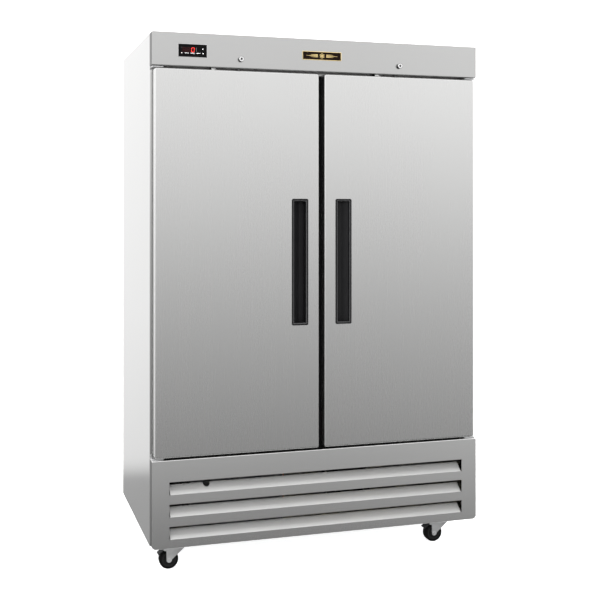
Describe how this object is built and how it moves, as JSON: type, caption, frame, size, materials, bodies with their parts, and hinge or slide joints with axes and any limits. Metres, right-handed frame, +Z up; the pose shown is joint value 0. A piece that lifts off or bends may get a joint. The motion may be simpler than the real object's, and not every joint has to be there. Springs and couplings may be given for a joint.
{
  "type": "reach in refrigerator",
  "caption": "Two-door stainless reach-in refrigerator on casters, with recessed handles, wire shelves and a louvred base over its condensing unit.",
  "frame": {"origin": "on the floor under the middle of the cabinet's outline", "axes": "+Z up, +X to the right of someone facing the doors, the doors face -Y"},
  "size_m": [1.375, 0.847, 2.096],
  "materials": {
    "brushed_stainless": "satin",
    "galvanised_steel": "satin",
    "white_liner": "satin",
    "insulated_core": "satin",
    "foam": "matte",
    "black_plastic": "matte",
    "black_glass": "gloss",
    "gasket_vinyl": "matte",
    "chrome": "polished",
    "zinc_plate": "satin",
    "coated_wire": "satin",
    "aluminium_fins": "satin",
    "black_paint": "satin",
    "black_rubber": "matte"
  },
  "bodies": {
    "cabinet": {"side_panel_left": "brushed_stainless", "side_panel_right": "brushed_stainless", "face_frame": "brushed_stainless", "header_panel": "brushed_stainless", "grille_panel": "brushed_stainless", "top_panel": "galvanised_steel", "back_panel": "galvanised_steel", "base_chassis": "galvanised_steel", "machine_rear_panel": "galvanised_steel", "condenser_shroud": "galvanised_steel", "foam_insulation": "foam", "inner_liner": "white_liner", "evaporator_cover": "white_liner", "center_mullion": "black_plastic", "name_badge": "black_plastic", "condensate_pan": "black_plastic", "controller_housing": "black_glass", "lock_barrel_left": "chrome", "lock_barrel_right": "chrome", "wire_shelf_left_1": "coated_wire", "wire_shelf_left_2": "coated_wire", "wire_shelf_left_3": "coated_wire", "wire_shelf_right_1": "coated_wire", "wire_shelf_right_2": "coated_wire", "wire_shelf_right_3": "coated_wire", "evaporator_coil": "aluminium_fins", "condenser_coil": "aluminium_fins", "compressor": "black_paint", "hinge_bracket_top_left": "zinc_plate", "hinge_bracket_top_right": "zinc_plate", "hinge_bracket_bottom_left": "zinc_plate", "hinge_bracket_bottom_right": "zinc_plate", "caster_plate_front_left": "zinc_plate", "caster_plate_front_right": "zinc_plate", "caster_plate_rear_left": "zinc_plate", "caster_plate_rear_right": "zinc_plate"},
    "door_left": {"door_skin_left": "brushed_stainless", "door_core_left": "insulated_core", "door_gasket_left": "gasket_vinyl", "door_handle_left": "black_plastic"},
    "door_right": {"door_skin_right": "brushed_stainless", "door_core_right": "insulated_core", "door_gasket_right": "gasket_vinyl", "door_handle_right": "black_plastic"},
    "lock_left": {"lock_plug_left": "chrome"},
    "lock_right": {"lock_plug_right": "chrome"},
    "switch_left": {"door_switch_plunger_left": "chrome"},
    "switch_right": {"door_switch_plunger_right": "chrome"},
    "evaporator_fan": {"evaporator_fan": "black_plastic"},
    "condenser_fan": {"condenser_fan": "black_plastic"},
    "caster_front_left": {"caster_fork_front_left": "zinc_plate"},
    "caster_front_right": {"caster_fork_front_right": "zinc_plate"},
    "caster_rear_left": {"caster_fork_rear_left": "zinc_plate"},
    "caster_rear_right": {"caster_fork_rear_right": "zinc_plate"},
    "wheel_front_left": {"caster_wheel_front_left": "black_rubber"},
    "wheel_front_right": {"caster_wheel_front_right": "black_rubber"},
    "wheel_rear_left": {"caster_wheel_rear_left": "black_rubber"},
    "wheel_rear_right": {"caster_wheel_rear_right": "black_rubber"},
    "pedal_left": {"brake_pedal_left": "black_paint"},
    "pedal_right": {"brake_pedal_right": "black_paint"}
  },
  "joints": [
    {"name": "door_left_hinge", "type": "hinge", "parent": "cabinet", "child": "door_left", "pos_m": [-0.657, -0.3915, 1.2035], "axis": [0, 0, -1], "range_deg": [0, 120], "stiffness_Nm_per_rad": 1.5},
    {"name": "door_right_hinge", "type": "hinge", "parent": "cabinet", "child": "door_right", "pos_m": [0.657, -0.3915, 1.2035], "axis": [0, 0, 1], "range_deg": [0, 120], "stiffness_Nm_per_rad": 1.5},
    {"name": "lock_left_turn", "type": "hinge", "parent": "cabinet", "child": "lock_left", "pos_m": [-0.336, -0.4115, 2.001], "axis": [0, 1, 0], "range_deg": [0, 90]},
    {"name": "lock_right_turn", "type": "hinge", "parent": "cabinet", "child": "lock_right", "pos_m": [0.336, -0.4115, 2.001], "axis": [0, 1, 0], "range_deg": [0, 90]},
    {"name": "switch_left_press", "type": "slide", "parent": "cabinet", "child": "switch_left", "axis": [0, 1, 0], "range_m": [0, 0.003], "stiffness_N_per_m": 150},
    {"name": "switch_right_press", "type": "slide", "parent": "cabinet", "child": "switch_right", "axis": [0, 1, 0], "range_m": [0, 0.003], "stiffness_N_per_m": 150},
    {"name": "evaporator_fan_spin", "type": "hinge", "parent": "cabinet", "child": "evaporator_fan", "pos_m": [0, -0.1715, 1.939], "axis": [0, 1, 0], "continuous": true},
    {"name": "condenser_fan_spin", "type": "hinge", "parent": "cabinet", "child": "condenser_fan", "pos_m": [-0.33, -0.1895, 0.2695], "axis": [0, 1, 0], "continuous": true},
    {"name": "caster_front_left_swivel", "type": "hinge", "parent": "cabinet", "child": "caster_front_left", "pos_m": [-0.566, -0.3265, 0.09], "axis": [0, 0, 1], "continuous": true},
    {"name": "wheel_front_left_roll", "type": "hinge", "parent": "caster_front_left", "child": "wheel_front_left", "pos_m": [-0.609, -0.3265, 0.038], "axis": [0, 1, 0], "continuous": true},
    {"name": "caster_front_right_swivel", "type": "hinge", "parent": "cabinet", "child": "caster_front_right", "pos_m": [0.566, -0.3265, 0.09], "axis": [0, 0, 1], "continuous": true},
    {"name": "wheel_front_right_roll", "type": "hinge", "parent": "caster_front_right", "child": "wheel_front_right", "pos_m": [0.523, -0.3265, 0.038], "axis": [0, 1, 0], "continuous": true},
    {"name": "caster_rear_left_swivel", "type": "hinge", "parent": "cabinet", "child": "caster_rear_left", "pos_m": [-0.566, 0.3385, 0.09], "axis": [0, 0, 1], "continuous": true},
    {"name": "wheel_rear_left_roll", "type": "hinge", "parent": "caster_rear_left", "child": "wheel_rear_left", "pos_m": [-0.609, 0.3385, 0.038], "axis": [0, 1, 0], "continuous": true},
    {"name": "caster_rear_right_swivel", "type": "hinge", "parent": "cabinet", "child": "caster_rear_right", "pos_m": [0.566, 0.3385, 0.09], "axis": [0, 0, 1], "continuous": true},
    {"name": "wheel_rear_right_roll", "type": "hinge", "parent": "caster_rear_right", "child": "wheel_rear_right", "pos_m": [0.523, 0.3385, 0.038], "axis": [0, 1, 0], "continuous": true},
    {"name": "pedal_left_press", "type": "hinge", "parent": "caster_front_left", "child": "pedal_left", "pos_m": [-0.626, -0.3265, 0.079], "axis": [0, -1, 0], "range_deg": [0, 10]},
    {"name": "pedal_right_press", "type": "hinge", "parent": "caster_front_right", "child": "pedal_right", "pos_m": [0.506, -0.3265, 0.079], "axis": [0, -1, 0], "range_deg": [0, 10]}
  ]
}
